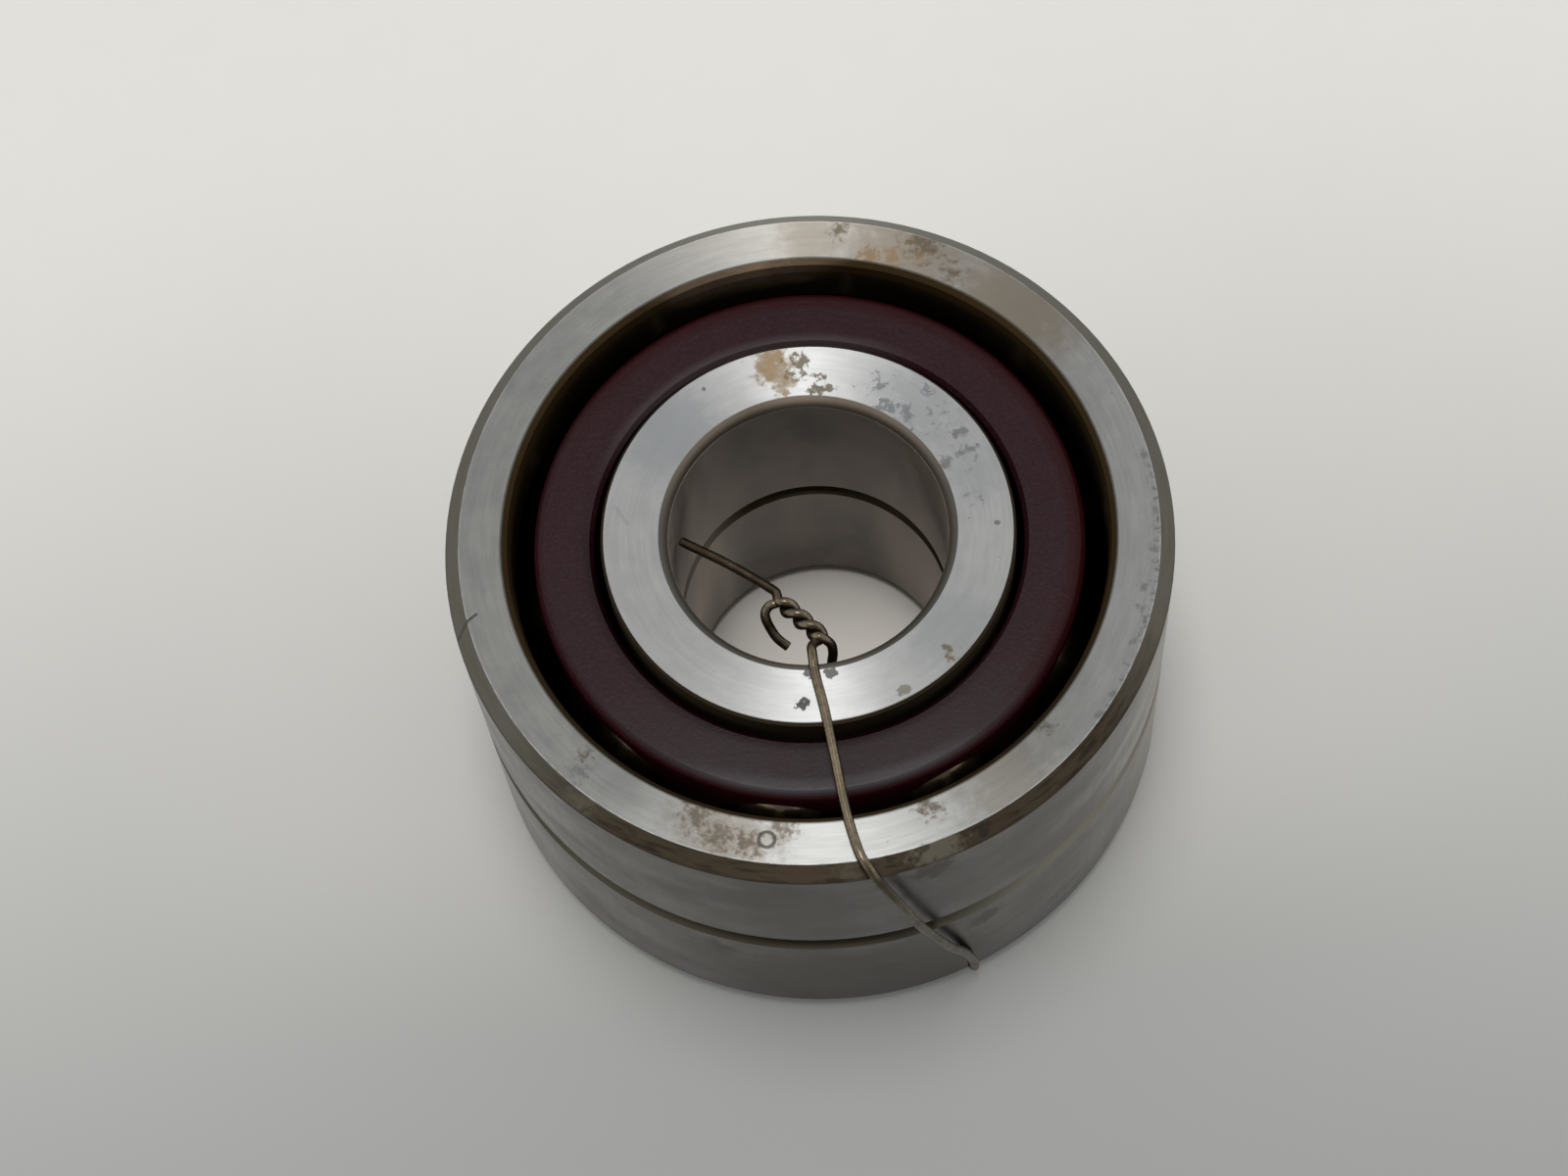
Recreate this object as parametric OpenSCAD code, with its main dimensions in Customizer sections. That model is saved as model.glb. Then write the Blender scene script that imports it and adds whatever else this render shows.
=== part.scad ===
// Matched pair of single-row angular-contact ball bearings, laid face to face.
// The axis is Z and the pair stands on its lower faces, with the origin at the
// middle of the bottom. The lower bearing is the mirror image of the upper one.

/* [Bearing] */
// Bore of both inner rings
bore_d = 20; // [18:0.5:22]
// Outside diameter of both outer rings
outer_d = 52; // [50:0.5:56]
// Width of one bearing, so the pair is twice as wide
ring_w = 15; // [14:0.5:18]

/* [Balls and grooves] */
// Balls in each row
ball_count = 10; // [8:1:10]
// Turn of each row about the axis, from X
row_turn = 6; // [0:1:36]
// Ball diameter
ball_d = 8.731; // [8.2:0.001:9]
// Angle of the line of contact from the plane of the balls
contact_angle = 25; // [15:1:30]
// Groove radius as a share of the ball diameter
groove_ratio = 0.525; // [0.515:0.005:0.54]
// Gap between ball and groove where they would touch
ball_play = 0.03; // [0.02:0.01:0.05]

/* [Ring shoulders] */
// Height of the outer ring's thrust shoulder above the groove's floor
outer_shoulder_h = 1.05; // [0.8:0.05:1.5]
// Height of the lip that snaps over the balls on the outer ring's open side
relief_lip_h = 0.12; // [0.05:0.01:0.2]
// Height of the inner ring's thrust shoulder above the groove's floor
inner_shoulder_h = 1.6; // [1.3:0.05:1.8]
// Height of the inner ring's plain shoulder above the groove's floor
inner_plain_h = 1.2; // [0.9:0.05:1.3]

/* [Ring corners] */
// Chamfer of the outside diameter at the thrust face
od_chamfer = 1.1; // [0.6:0.1:1.6]
// Chamfer of the outside diameter at the face where the two bearings meet
od_seam_chamfer = 1.1; // [0.6:0.1:1.6]
// Chamfer of the bore at the outer face
bore_chamfer = 0.7; // [0.4:0.05:1.2]
// Chamfer of the bore where the two bearings meet
bore_seam_chamfer = 0.75; // [0.4:0.05:1.2]
// Chamfer between a thrust face and the outer ring's shoulder
shoulder_chamfer = 0.4; // [0.2:0.05:0.6]
// How far the outer ring's shoulder opens out above its land
shoulder_taper = 0.15; // [0.05:0.05:0.3]
// Height of that taper
shoulder_taper_h = 0.8; // [0.4:0.1:1.2]
// Small chamfer on the inner ring's shoulders and the outer ring's open side
edge_chamfer = 0.25; // [0.1:0.05:0.4]

/* [Cage] */
// Gap between the cage's bore and the inner ring's thrust shoulder that guides it
cage_guide_gap = 0.2; // [0.1:0.05:0.3]
// Radial thickness of the cage
cage_wall = 4.3; // [3.6:0.05:4.4]
// How far the cage's ends lie below the ring faces
cage_recess = 1.15; // [1:0.05:1.6]
// Gap all round between a ball and its pocket
pocket_gap = 0.15; // [0.1:0.01:0.2]
// Rounding of the cage's outer corners
cage_round = 0.7; // [0.4:0.05:1]
// Chamfer of the cage's bore
cage_bore_chamfer = 0.3; // [0.1:0.05:0.5]

/* [Hidden] */
$fn = 96;
pocket_overshoot = 1;
round_steps = 6;

ball_r = ball_d / 2;
bore_r = bore_d / 2;
outer_r = outer_d / 2;
// The balls run midway between the bore and the outside diameter
pitch_r = (bore_r + outer_r) / 2;
ball_z = ring_w / 2;

// A groove's arc is centred beside the ball's centre, on the line of contact
groove_r = groove_ratio * ball_d;
groove_shift = groove_r - ball_r - ball_play;
shift_r = groove_shift * cos(contact_angle);
shift_z = groove_shift * sin(contact_angle);
outer_groove = [pitch_r - shift_r, ball_z - shift_z];
inner_groove = [pitch_r + shift_r, ball_z + shift_z];
outer_floor_r = outer_groove[0] + groove_r;
inner_floor_r = inner_groove[0] - groove_r;

outer_land_r = outer_floor_r - outer_shoulder_h;
outer_relief_r = outer_floor_r - relief_lip_h;
inner_land_r = inner_floor_r + inner_shoulder_h;
inner_plain_r = inner_floor_r + inner_plain_h;

cage_bore_r = inner_land_r + cage_guide_gap;
cage_outer_r = cage_bore_r + cage_wall;
pocket_d = ball_d + 2 * pocket_gap;

function ball_angle(i) = row_turn + 360 / ball_count * (i - 1);
function row_nodes(row) = [for (i = [1 : ball_count]) str(row, "_ball_", i)];

// Points of a quarter circle about c, from the angle a onwards
function quarter(c, r, a) = [
    for (i = [0 : round_steps]) c + r * [cos(a + 90 * i / round_steps), sin(a + 90 * i / round_steps)]
];

// Each bearing is drawn from the meeting plane upwards, thrust face on top
module upper() { translate([0, 0, ring_w]) children(); }
module lower() { translate([0, 0, ring_w]) mirror([0, 0, 1]) children(); }

module groove(centre) { translate(centre) circle(r = groove_r); }

module outer_ring() {
    color("lightsteelblue")
    rotate_extrude()
    difference() {
        polygon([
            [outer_r - od_seam_chamfer, 0],
            [outer_r, od_seam_chamfer],
            [outer_r, ring_w - od_chamfer],
            [outer_r - od_chamfer, ring_w],
            [outer_land_r + shoulder_taper + shoulder_chamfer, ring_w],
            [outer_land_r + shoulder_taper, ring_w - shoulder_chamfer],
            [outer_land_r, ring_w - shoulder_chamfer - shoulder_taper_h],
            [outer_land_r, outer_groove[1]],
            [outer_relief_r, outer_groove[1]],
            [outer_relief_r, edge_chamfer],
            [outer_relief_r + edge_chamfer, 0]
        ]);
        groove(outer_groove);
    }
}

module inner_ring() {
    color("silver")
    rotate_extrude()
    difference() {
        polygon([
            [bore_r + bore_seam_chamfer, 0],
            [inner_land_r - edge_chamfer, 0],
            [inner_land_r, edge_chamfer],
            [inner_land_r, inner_groove[1]],
            [inner_plain_r, inner_groove[1]],
            [inner_plain_r, ring_w - edge_chamfer],
            [inner_plain_r - edge_chamfer, ring_w],
            [bore_r + bore_chamfer, ring_w],
            [bore_r, ring_w - bore_chamfer],
            [bore_r, bore_seam_chamfer]
        ]);
        groove(inner_groove);
    }
}

module cage_body() {
    low = cage_recess;
    high = ring_w - cage_recess;
    centre_r = cage_outer_r - cage_round;
    rotate_extrude()
    polygon(concat(
        [
            [cage_bore_r, high - cage_bore_chamfer],
            [cage_bore_r, low + cage_bore_chamfer],
            [cage_bore_r + cage_bore_chamfer, low]
        ],
        quarter([centre_r, low + cage_round], cage_round, -90),
        quarter([centre_r, high - cage_round], cage_round, 0),
        [[cage_bore_r + cage_bore_chamfer, high]]
    ));
}

// Each pocket is a hole drilled straight through the cage towards its axis
module cage() {
    color([0.3, 0.2, 0.23])
    difference() {
        cage_body();
        for (i = [1 : ball_count])
            rotate([0, 0, ball_angle(i)])
            translate([cage_bore_r - pocket_overshoot, 0, ball_z])
            rotate([0, 90, 0])
            cylinder(d = pocket_d, h = cage_wall + 2 * pocket_overshoot);
    }
}

module ball(i) {
    color("gainsboro")
    rotate([0, 0, ball_angle(i)])
    translate([pitch_r, 0, ball_z])
    sphere(d = ball_d);
}

module lower_outer_ring() { lower() outer_ring(); }
module lower_inner_ring() { lower() inner_ring(); }
module lower_cage() { lower() cage(); }
module upper_outer_ring() { upper() outer_ring(); }
module upper_inner_ring() { upper() inner_ring(); }
module upper_cage() { upper() cage(); }

lower_outer_ring();
lower_inner_ring();
lower_cage();
for (i = [1 : ball_count])
    lower() ball(i);
upper_outer_ring();
upper_inner_ring();
upper_cage();
for (i = [1 : ball_count])
    upper() ball(i);
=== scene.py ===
import math

import bpy
import numpy as np
from mathutils import Matrix, Vector


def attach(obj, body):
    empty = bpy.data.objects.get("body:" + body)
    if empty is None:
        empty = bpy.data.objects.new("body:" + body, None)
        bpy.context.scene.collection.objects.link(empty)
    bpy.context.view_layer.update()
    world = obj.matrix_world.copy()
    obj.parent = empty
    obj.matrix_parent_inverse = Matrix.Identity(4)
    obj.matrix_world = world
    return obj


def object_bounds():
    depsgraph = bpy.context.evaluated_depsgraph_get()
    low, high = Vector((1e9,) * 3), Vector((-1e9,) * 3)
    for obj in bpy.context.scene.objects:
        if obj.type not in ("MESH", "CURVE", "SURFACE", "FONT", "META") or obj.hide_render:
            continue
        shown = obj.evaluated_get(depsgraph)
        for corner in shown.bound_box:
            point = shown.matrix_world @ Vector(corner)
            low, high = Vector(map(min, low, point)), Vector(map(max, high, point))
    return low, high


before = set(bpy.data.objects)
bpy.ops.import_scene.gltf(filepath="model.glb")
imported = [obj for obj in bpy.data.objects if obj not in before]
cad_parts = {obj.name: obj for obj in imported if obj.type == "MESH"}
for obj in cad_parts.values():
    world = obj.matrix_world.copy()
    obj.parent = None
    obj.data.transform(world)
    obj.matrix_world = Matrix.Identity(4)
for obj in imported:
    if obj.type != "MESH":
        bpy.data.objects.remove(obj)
cadBox = [list(corner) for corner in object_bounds()]
print("frame loaded:", len(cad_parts), "solids")

mm = 0.001
topZ = cadBox[1][2] / mm   # the upper end faces, 30 mm up
seamZ = topZ / 2           # the faces where the two bearings meet


def nodeRadii(name):
    # distances of a solid's points from the axis, in mm
    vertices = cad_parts[name].data.vertices
    points = np.empty(len(vertices) * 3, np.float32)
    vertices.foreach_get("co", points)
    return np.hypot(points[0::3], points[1::3]) / mm


outerRadius = float(nodeRadii("upper_outer_ring").max())
boreRadius = float(nodeRadii("upper_inner_ring").min())
print("outer radius", round(outerRadius, 3), "mm, bore radius", round(boreRadius, 3), "mm")


def put(tree, kind, inputs=None, **fields):
    # one shader node; an input is linked when it is a socket and set when it is a value
    node = tree.nodes.new(kind)
    for name, value in fields.items():
        setattr(node, name, value)
    for key, value in (inputs or {}).items():
        if isinstance(value, bpy.types.NodeSocket):
            tree.links.new(value, node.inputs[key])
        else:
            node.inputs[key].default_value = value
    return node


def calc(tree, operation, a, b=0.0, clamp=False):
    return put(tree, "ShaderNodeMath", {0: a, 1: b}, operation=operation, use_clamp=clamp).outputs[0]


def times(tree, first, *others):
    for other in others:
        first = calc(tree, "MULTIPLY", first, other)
    return first


def most(tree, first, *others):
    for other in others:
        first = calc(tree, "MAXIMUM", first, other)
    return first


def rest(tree, value):
    return calc(tree, "SUBTRACT", 1.0, value)


def vec(tree, operation, a, b=(0, 0, 0), out=0):
    return put(tree, "ShaderNodeVectorMath", {0: a, 1: b}, operation=operation).outputs[out]


def ease(tree, value, low, high, outLow=0.0, outHigh=1.0):
    # smooth step from outLow to outHigh while value goes from low to high
    return put(tree, "ShaderNodeMapRange", {0: value, 1: low, 2: high, 3: outLow, 4: outHigh},
               interpolation_type="SMOOTHSTEP").outputs[0]


def mixColour(tree, factor, a, b):
    return put(tree, "ShaderNodeMix", {0: factor, 6: a, 7: b}, data_type="RGBA").outputs[2]


def mixValue(tree, factor, a, b):
    return put(tree, "ShaderNodeMix", {0: factor, 2: a, 3: b}, data_type="FLOAT").outputs[0]


def noise(tree, place, scale, detail=3.0, rough=0.55):
    return put(tree, "ShaderNodeTexNoise", {"Vector": place, "Scale": scale, "Detail": detail,
                                            "Roughness": rough}).outputs[0]


def grey(v):
    return (v, v, v, 1.0)


def newGroup(name, inputs, outputs):
    group = bpy.data.node_groups.new(name, "ShaderNodeTree")
    kinds = {"v": "NodeSocketVector", "f": "NodeSocketFloat"}
    for label, kind, start in inputs:
        socket = group.interface.new_socket(label, in_out="INPUT", socket_type=kinds[kind])
        if start is not None:
            socket.default_value = start
    for label, kind in outputs:
        group.interface.new_socket(label, in_out="OUTPUT", socket_type=kinds[kind])
    return group, put(group, "NodeGroupInput").outputs, put(group, "NodeGroupOutput").inputs


def use(tree, group, **inputs):
    # a group in a material; its inputs are given by name, with the first letter small
    node = put(tree, "ShaderNodeGroup", node_tree=group)
    for key, value in inputs.items():
        socket = node.inputs[key[0].upper() + key[1:]]
        if isinstance(value, bpy.types.NodeSocket):
            tree.links.new(value, socket)
        else:
            socket.default_value = value
    return node.outputs


def makePolar():
    # radius = length of (x, y) in mm; depth = how far below the nearer end face; the turn is
    # (a length, cos, sin), so a pattern laid on it runs round the axis and has no join; the length grows
    # outwards, with the depth and, more slowly, with the height, so the two bearings differ
    outputs = [("Radius", "f"), ("Depth", "f"), ("Turn", "v"), ("Mm", "v"), ("Back", "f")]
    group, given, out = newGroup("polarPlace", [("Place", "v", None)], outputs)
    inMm = vec(group, "MULTIPLY", given["Place"], (1 / mm,) * 3)
    part = put(group, "ShaderNodeSeparateXYZ", {0: inMm}).outputs
    flat = put(group, "ShaderNodeCombineXYZ", {0: part[0], 1: part[1]}).outputs[0]
    radius = vec(group, "LENGTH", flat, out=1)
    way = put(group, "ShaderNodeSeparateXYZ", {0: vec(group, "NORMALIZE", flat)}).outputs
    fromSeam = calc(group, "ABSOLUTE", calc(group, "SUBTRACT", part[2], seamZ))
    depth = calc(group, "SUBTRACT", seamZ, fromSeam)
    reach = calc(group, "ADD", radius, times(group, depth, 0.5))
    reach = calc(group, "ADD", reach, times(group, part[2], 0.13))
    turn = put(group, "ShaderNodeCombineXYZ", {0: reach, 1: way[0], 2: way[1]}).outputs[0]
    results = {"Radius": radius, "Depth": depth, "Turn": turn, "Mm": inMm, "Back": part[1]}
    for label, socket in results.items():
        group.links.new(socket, out[label])
    return group


def makeGrain():
    # fine lines round the axis: noise that is stretched along the turn, coarse plus fine
    inputs = [("Turn", "v", None), ("Lines", "f", 9.0), ("Length", "f", 5.0)]
    group, given, out = newGroup("turnedGrain", inputs, [("Grain", "f"), ("Cloud", "f")])

    def streak(lines, length, shift, detail):
        across = put(group, "ShaderNodeCombineXYZ", {0: lines, 1: length, 2: length}).outputs[0]
        place = vec(group, "ADD", vec(group, "MULTIPLY", given["Turn"], across), (shift, 0, 0))
        return noise(group, place, 1.0, detail, 0.6)

    fine = streak(given["Lines"], given["Length"], 0.0, 3.0)
    coarse = streak(times(group, given["Lines"], 0.22), times(group, given["Length"], 0.5), 7.3, 2.0)
    group.links.new(ease(group, mixValue(group, 0.4, fine, coarse), 0.34, 0.66), out["Grain"])
    group.links.new(ease(group, streak(0.45, 2.6, 3.1, 2.0), 0.35, 0.65), out["Cloud"])
    return group


def makeRagged():
    # two noises that break up the rims of stains: one for broad shapes, one for small ones
    inputs = [("Mm", "v", None), ("Fine", "f", 2.0)]
    group, given, out = newGroup("ragged", inputs, [("Broad", "f"), ("Small", "f")])
    group.links.new(noise(group, given["Mm"], 0.9, 4.0, 0.62), out["Broad"])
    shifted = vec(group, "ADD", given["Mm"], (31, 7, 3))
    group.links.new(noise(group, shifted, given["Fine"], 4.0, 0.62), out["Small"])
    return group


def makePatch():
    # a stain: one minus the distance to its centre over its reach, plus noise, cut off at an edge
    inputs = [("Mm", "v", None), ("Noise", "f", 0.5), ("Centre", "v", (0, 0, 0)), ("Reach", "f", 3.0),
              ("Ragged", "f", 1.0), ("Edge", "f", 0.5), ("Soft", "f", 0.08), ("Weight", "f", 1.0)]
    group, given, out = newGroup("patch", inputs, [("Mask", "f")])
    away = vec(group, "DISTANCE", given["Mm"], given["Centre"], out=1)
    near = rest(group, calc(group, "DIVIDE", away, given["Reach"]))
    broken = times(group, calc(group, "SUBTRACT", given["Noise"], 0.5), given["Ragged"])
    level = calc(group, "ADD", near, broken)
    low = calc(group, "SUBTRACT", given["Edge"], given["Soft"])
    high = calc(group, "ADD", given["Edge"], given["Soft"])
    group.links.new(times(group, ease(group, level, low, high), given["Weight"]), out["Mask"])
    return group


def makeSpots():
    # scattered spots: noise above a level; a higher cover gives more of them
    inputs = [("Mm", "v", None), ("Scale", "f", 1.0), ("Cover", "f", 0.3), ("Soft", "f", 0.05),
              ("Stretch", "v", (1, 1, 1))]
    group, given, out = newGroup("spots", inputs, [("Mask", "f")])
    level = calc(group, "SUBTRACT", 0.75, times(group, given["Cover"], 0.5))
    rough = noise(group, vec(group, "MULTIPLY", given["Mm"], given["Stretch"]), given["Scale"], 3.0, 0.62)
    low = calc(group, "SUBTRACT", level, given["Soft"])
    high = calc(group, "ADD", level, given["Soft"])
    group.links.new(ease(group, rough, low, high), out["Mask"])
    return group


def makeRim():
    # a corner line: one on the circle of that radius and depth, zero a width away
    group, given, out = newGroup("rim", [("Radius", "f", 0.0), ("Depth", "f", 0.0), ("RimRadius", "f", 0.0),
                                         ("RimDepth", "f", 0.0), ("Width", "f", 0.1)], [("Mask", "f")])
    across = calc(group, "SUBTRACT", given["Radius"], given["RimRadius"])
    down = calc(group, "SUBTRACT", given["Depth"], given["RimDepth"])
    away = vec(group, "LENGTH", put(group, "ShaderNodeCombineXYZ", {0: across, 1: down}).outputs[0], out=1)
    group.links.new(ease(group, away, 0.0, given["Width"], 1.0, 0.0), out["Mask"])
    return group


polarPlace, turnedGrain, ragged = makePolar(), makeGrain(), makeRagged()
patch, spots, rim = makePatch(), makeSpots(), makeRim()
print("shared effects ready")


def newMaterial(name):
    material = bpy.data.materials.new(name)
    material.use_nodes = True
    tree = material.node_tree
    place = put(tree, "ShaderNodeTexCoord").outputs["Object"]
    return material, tree, tree.nodes["Principled BSDF"], use(tree, polarPlace, place=place)


def finish(tree, shader, colour, rough, metal=None, relief=None, strength=0.4, reliefDepth=0.03 * mm):
    tree.links.new(colour, shader.inputs["Base Color"])
    tree.links.new(rough, shader.inputs["Roughness"])
    if metal is not None:
        tree.links.new(metal, shader.inputs["Metallic"])
    if relief is not None:
        height = {"Height": relief, "Strength": strength, "Distance": reliefDepth}
        bump = put(tree, "ShaderNodeBump", height)
        tree.links.new(bump.outputs[0], shader.inputs["Normal"])


def layTurned(tree, shader, amount):
    # the steel was turned or ground round the axis, so its gloss spreads across those lines
    shader.inputs["Anisotropic"].default_value = amount
    shader.inputs["Anisotropic Rotation"].default_value = 0.25
    tangent = put(tree, "ShaderNodeTangent", direction_type="RADIAL", axis="Z").outputs[0]
    tree.links.new(tangent, shader.inputs["Tangent"])


def polar(radius, degrees, height):
    # a place in mm, from its radius, its degrees round the axis from +x, and its height
    return (radius * math.cos(math.radians(degrees)), radius * math.sin(math.radians(degrees)), height)


def layPatches(tree, at, noises, piece, name):
    # the strongest of a piece's stains of that name; a row is radius, degrees, height, reach, noise,
    # raggedness, edge and weight
    total = 0.0
    for radius, degrees, height, reach, kind, rag, edge, weight in piece[name]:
        mask = use(tree, patch, mm=at["Mm"], noise=noises[kind], centre=polar(radius, degrees, height),
                   reach=reach, ragged=rag, edge=edge, soft=piece["soft"][name], weight=weight)["Mask"]
        total = calc(tree, "MAXIMUM", total, mask)
    return total


def laySpots(tree, place, look):
    # scattered spots with the scale, cover, softness and stretch that the look gives
    return use(tree, spots, mm=place, **look)["Mask"]


def endFace(tree, at, full=0.03, gone=0.06):
    # one on the two end faces, and none from that many mm below them
    return ease(tree, at["Depth"], full, gone, 1.0, 0.0)


def lean(tree, at, side):
    # grows towards one side: a side is the x and y of a level direction and two distances along it, in mm;
    # the distance is the dot product of the point and the direction
    x, y, start, end = side
    return ease(tree, vec(tree, "DOT_PRODUCT", at["Mm"], (x, y, 0), out=1), start, end)


def scribedLine(tree, at, row):
    # distance to the straight line from start to end: length of (p - start - t (end - start)), t in 0 to 1;
    # a row is the start and the end, each as radius, degrees and height, and the width
    start, end, width = Vector(polar(*row[0])), Vector(polar(*row[1])), row[2]
    run = end - start
    offset = vec(tree, "SUBTRACT", at["Mm"], tuple(start))
    share = vec(tree, "DOT_PRODUCT", offset, tuple(run), out=1)
    share = calc(tree, "DIVIDE", share, run.length_squared, clamp=True)
    nearest = put(tree, "ShaderNodeVectorMath", {0: tuple(run), "Scale": share}, operation="SCALE")
    nearest = nearest.outputs[0]
    return ease(tree, vec(tree, "DISTANCE", offset, nearest, out=1), width * 0.5, width, 1.0, 0.0)


def rimLine(tree, at, rimRadius, rimDepth, width):
    return use(tree, rim, radius=at["Radius"], depth=at["Depth"], rimRadius=rimRadius, rimDepth=rimDepth,
               width=width)["Mask"]


def etchedRing(tree, at, row):
    # distance to a small circle: how far (length of p - centre) is from the size
    centre, size, width = row
    away = vec(tree, "DISTANCE", at["Mm"], polar(*centre), out=1)
    off = calc(tree, "ABSOLUTE", calc(tree, "SUBTRACT", away, size))
    return ease(tree, off, width * 0.6, width, 1.0, 0.0)


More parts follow.
